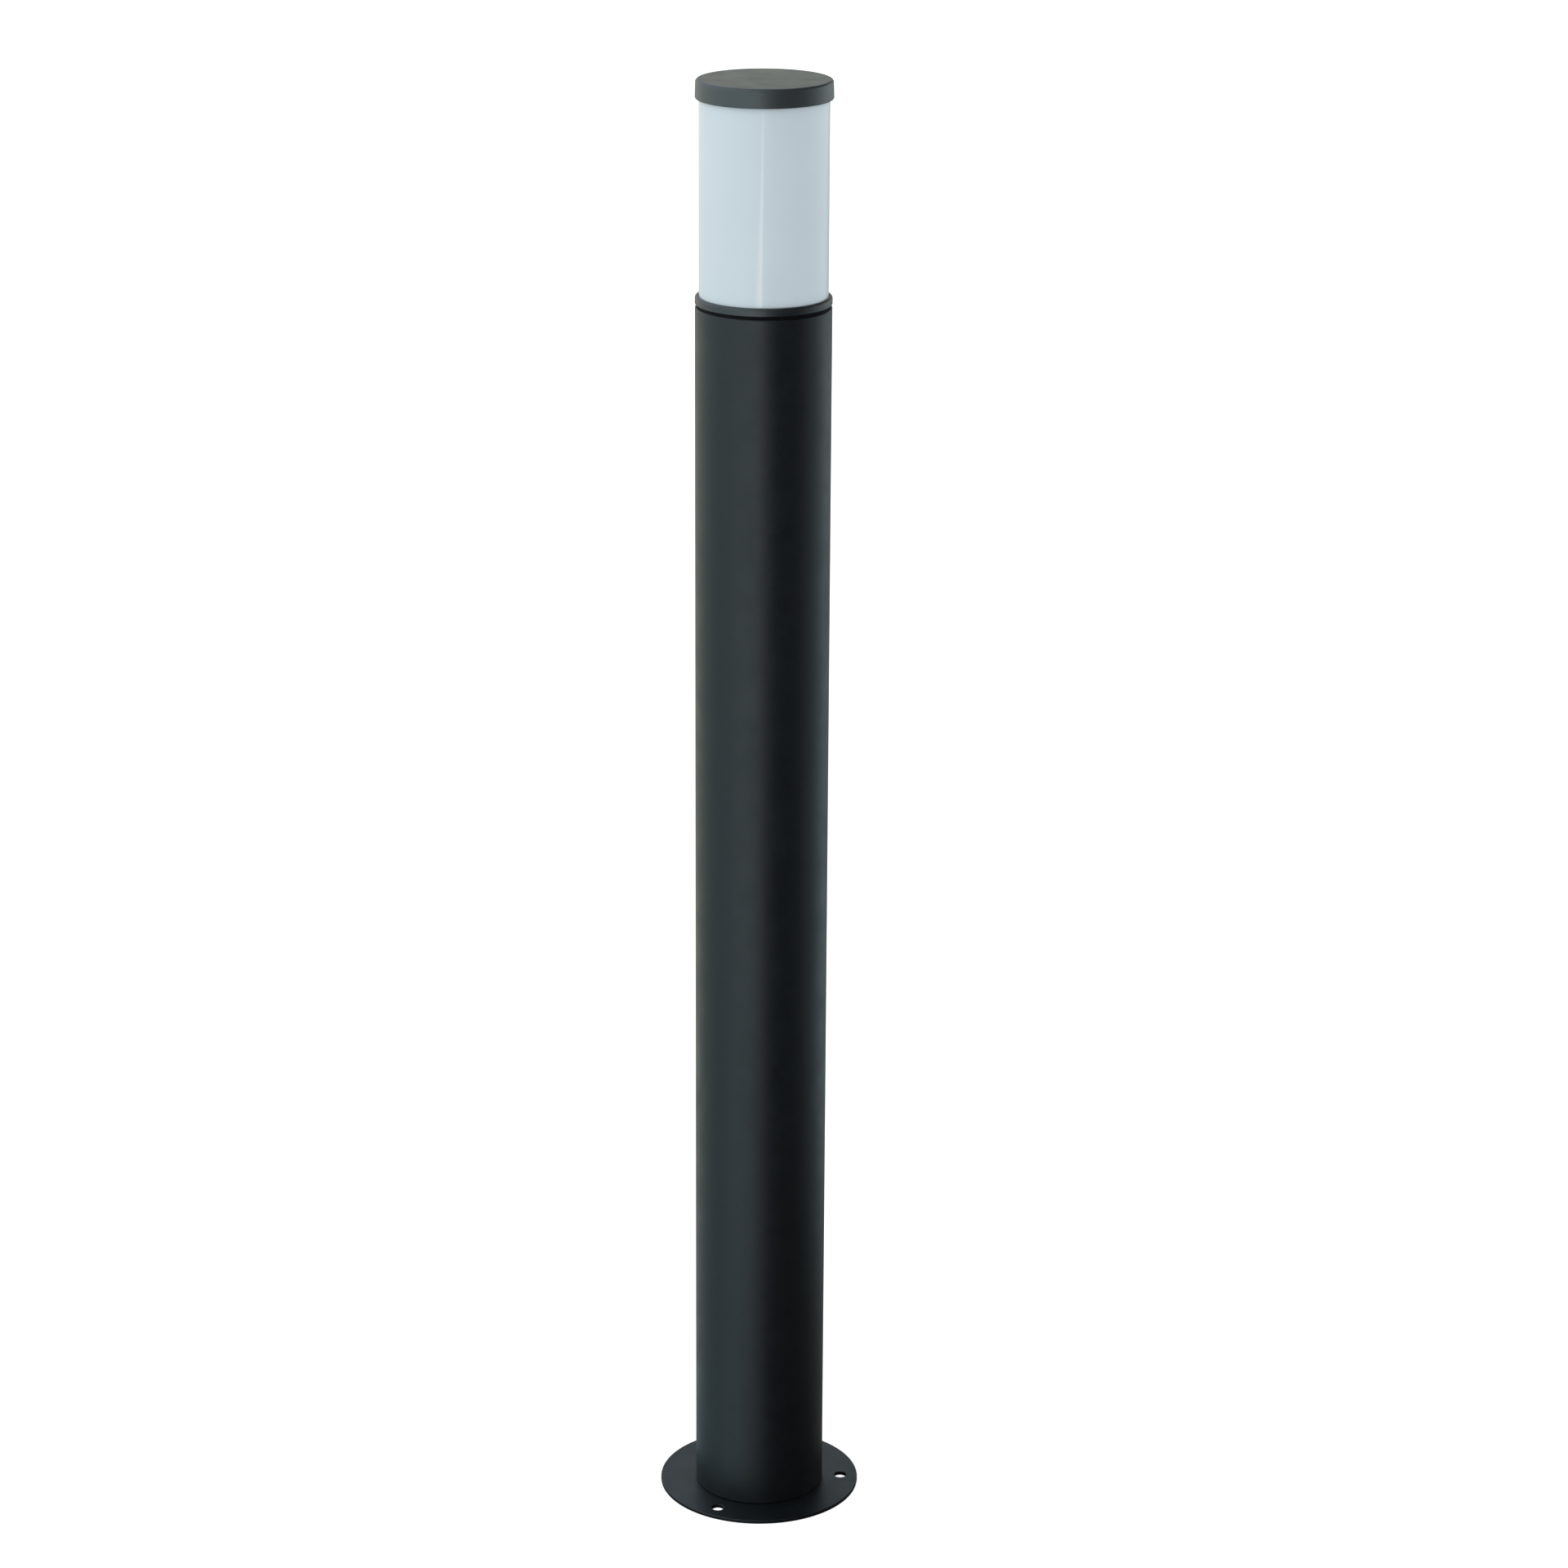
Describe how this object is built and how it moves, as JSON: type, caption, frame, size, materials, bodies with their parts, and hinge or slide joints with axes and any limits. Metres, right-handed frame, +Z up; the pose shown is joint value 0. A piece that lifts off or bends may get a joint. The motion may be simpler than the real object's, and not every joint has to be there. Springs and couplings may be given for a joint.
{
  "type": "path light",
  "caption": "Slim round bollard path light: dark post on a bolted round flange, with an opal tube lantern and a flat cap.",
  "frame": {"origin": "centre of the base flange's underside", "axes": "+Z up the post, +X through one anchor hole, and the lock screw at +Y, at the back"},
  "size_m": [0.14, 0.14, 1],
  "materials": {
    "powder_coat": "matte",
    "opal_acrylic": "gloss",
    "black_rubber": "matte",
    "zinc_steel": "satin",
    "brass": "satin",
    "grey_nylon": "matte",
    "white_nylon": "matte",
    "porcelain": "gloss",
    "brown_sleeve": "satin",
    "blue_sleeve": "satin",
    "green_sleeve": "satin",
    "bulb_opal": "satin"
  },
  "bodies": {
    "root": {"base_flange": "powder_coat", "cable_bush": "black_rubber", "flange_screws": "zinc_steel", "post_tube": "powder_coat", "gear_plate": "zinc_steel", "gear_screws": "zinc_steel", "gland_body": "grey_nylon", "gland_seal": "black_rubber", "gland_nut": "grey_nylon", "gland_locknut": "grey_nylon", "terminal_block": "white_nylon", "terminal_barrels": "brass", "terminal_screws": "zinc_steel", "block_screws": "zinc_steel", "earth_lug": "zinc_steel", "earth_screw": "zinc_steel", "holder_bracket": "zinc_steel", "bracket_screws": "zinc_steel", "holder_nipple": "brass", "nipple_nut": "zinc_steel", "lamp_holder": "porcelain", "thread_shell": "brass", "centre_contact": "brass", "lead_live": "brown_sleeve", "lead_neutral": "blue_sleeve", "lead_earth": "green_sleeve", "led_bulb": "bulb_opal", "ring_gasket": "black_rubber", "head_ring": "powder_coat", "lock_screw": "zinc_steel", "diffuser_seal": "black_rubber", "diffuser": "opal_acrylic", "cap_seal": "black_rubber", "cap": "powder_coat", "tie_rods": "zinc_steel", "tie_washers": "zinc_steel", "tie_nuts": "zinc_steel"}
  },
  "joints": []
}
